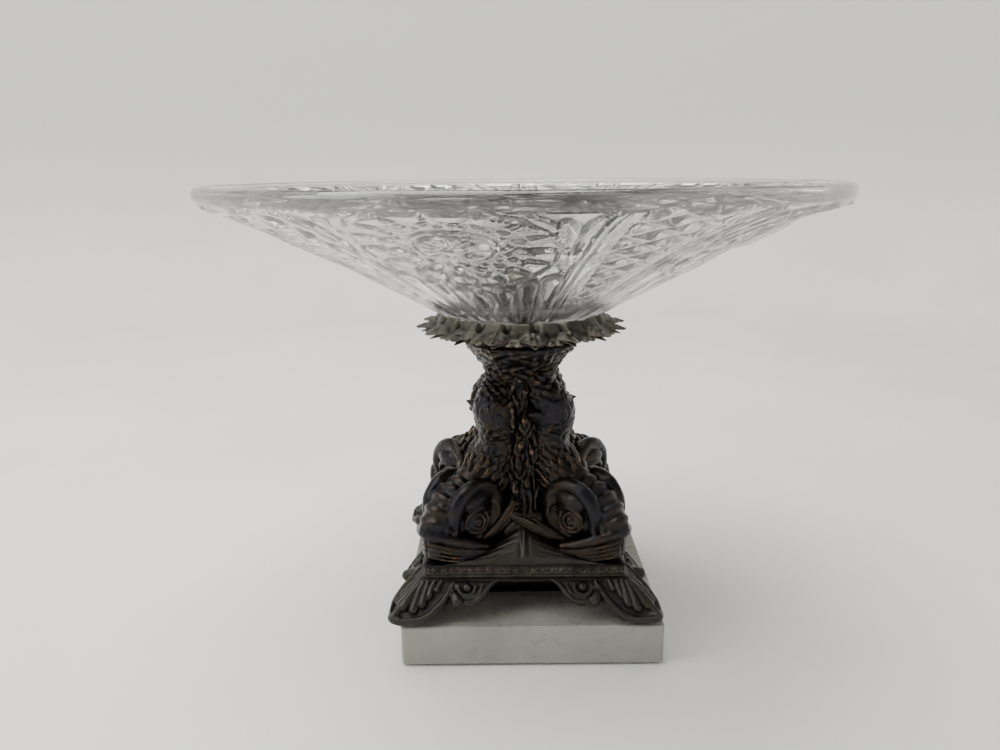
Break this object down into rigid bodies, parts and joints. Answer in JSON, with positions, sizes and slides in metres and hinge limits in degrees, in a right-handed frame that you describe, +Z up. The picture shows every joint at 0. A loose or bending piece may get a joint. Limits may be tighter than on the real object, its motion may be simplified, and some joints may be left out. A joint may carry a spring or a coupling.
{
  "type": "pedestal centrepiece bowl",
  "caption": "Shallow round pressed-glass bowl clamped on a cast pedestal of fish, with a leaf collar, footed base and square stone plinth.",
  "frame": {"origin": "on the resting plane, straight below the axis of the bowl and its tie rod", "axes": "+Z up along the tie rod; front towards -Y, square to a side of the plinth; +X to the right as seen from the front"},
  "size_m": [0.265, 0.265, 0.197],
  "materials": {
    "baize": "felted wool baize",
    "marble": "polished white marble, lightly scratched",
    "steel": "plain turned",
    "brown_bronze": "brown-olive patinated casting, rubbed light on its edges",
    "dark_bronze": "near-black patina with a blue sheen, coppery where worn",
    "antique_brass": "tarnished antique brass",
    "rubber": "matt packing ring",
    "glass": "clear pressed glass"
  },
  "bodies": {
    "pedestal": {"baize_sheet": "baize", "marble_plinth": "marble", "bottom_washer": "steel", "bottom_nut": "steel", "tie_rod": "steel", "footed_stand": "brown_bronze", "fish_front_left": "dark_bronze", "fish_front_right": "dark_bronze", "fish_back_left": "dark_bronze", "fish_back_right": "dark_bronze", "reed_core": "dark_bronze", "capital": "dark_bronze", "lower_petal_ring": "antique_brass", "upper_petal_ring": "antique_brass", "seat_cup": "antique_brass", "lower_gasket": "rubber"},
    "bowl": {"glass_bowl": "glass"},
    "clamp": {"upper_gasket": "rubber", "clamp_washer": "antique_brass"},
    "nut": {"cap_nut": "antique_brass"}
  },
  "joints": [
    {"name": "bowl_swivel", "type": "hinge", "parent": "pedestal", "child": "bowl", "pos_m": [0, 0, 0.1415], "axis": [0, 0, 1], "continuous": true},
    {"name": "clamp_lift", "type": "slide", "parent": "pedestal", "child": "clamp", "axis": [0, 0, 1], "range_m": [0, 0.0075]},
    {"name": "cap_nut_turn", "type": "hinge", "parent": "clamp", "child": "nut", "pos_m": [0, 0, 0.153], "axis": [0, 0, 1], "range_deg": [0, 2161]}
  ],
  "couplings": [
    {"joint": "cap_nut_turn", "follows": "clamp_lift", "rad_per_m": 5026.5}
  ]
}
